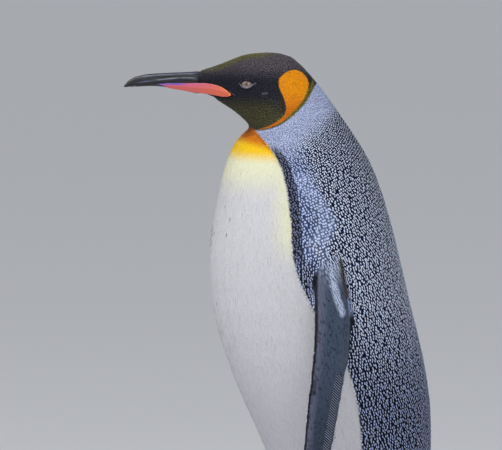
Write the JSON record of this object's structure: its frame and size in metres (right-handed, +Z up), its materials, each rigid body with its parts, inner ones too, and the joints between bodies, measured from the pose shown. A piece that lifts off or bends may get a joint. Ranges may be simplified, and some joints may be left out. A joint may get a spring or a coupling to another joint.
{
  "type": "king penguin",
  "caption": "Life-size king penguin standing at ease, leaning slightly forward, with its head turned to its right and its flippers hanging.",
  "frame": {"origin": "bottom centre of the whole bird's box, on the floor", "axes": "+Z up from the floor; the breast faces -Y, and the bird's left side is at +X"},
  "size_m": [0.3076, 0.4136, 0.842],
  "materials": {
    "hood": "short dense black feathers with an orange-yellow patch behind each ear",
    "neck": "short scale-like silver-grey feathers, with the orange bib in front",
    "trunk": "dense short plumage, white in front and slate grey on the back",
    "flipper": "tiny hard overlapping slate-blue feathers, white beneath",
    "tail": "stiff dark tail feathers",
    "foot": "coarse dark pebbled skin",
    "claw": "dark horn, lightly worn",
    "bill": "black horn with fine lengthwise lines, satin",
    "plate": "coral and violet-pink horn plate, satin",
    "eye": "brown eye, wet, half covered by its lids"
  },
  "bodies": {
    "root": {"head": "hood", "left_bill_plate": "plate", "left_claw_inner": "claw", "left_claw_middle": "claw", "left_claw_outer": "claw", "left_eye": "eye", "left_flipper": "flipper", "left_foot": "foot", "left_leg": "trunk", "lower_bill": "bill", "neck": "neck", "right_bill_plate": "plate", "right_claw_inner": "claw", "right_claw_middle": "claw", "right_claw_outer": "claw", "right_eye": "eye", "right_flipper": "flipper", "right_foot": "foot", "right_leg": "trunk", "tail": "tail", "trunk": "trunk", "upper_bill": "bill"}
  },
  "joints": []
}
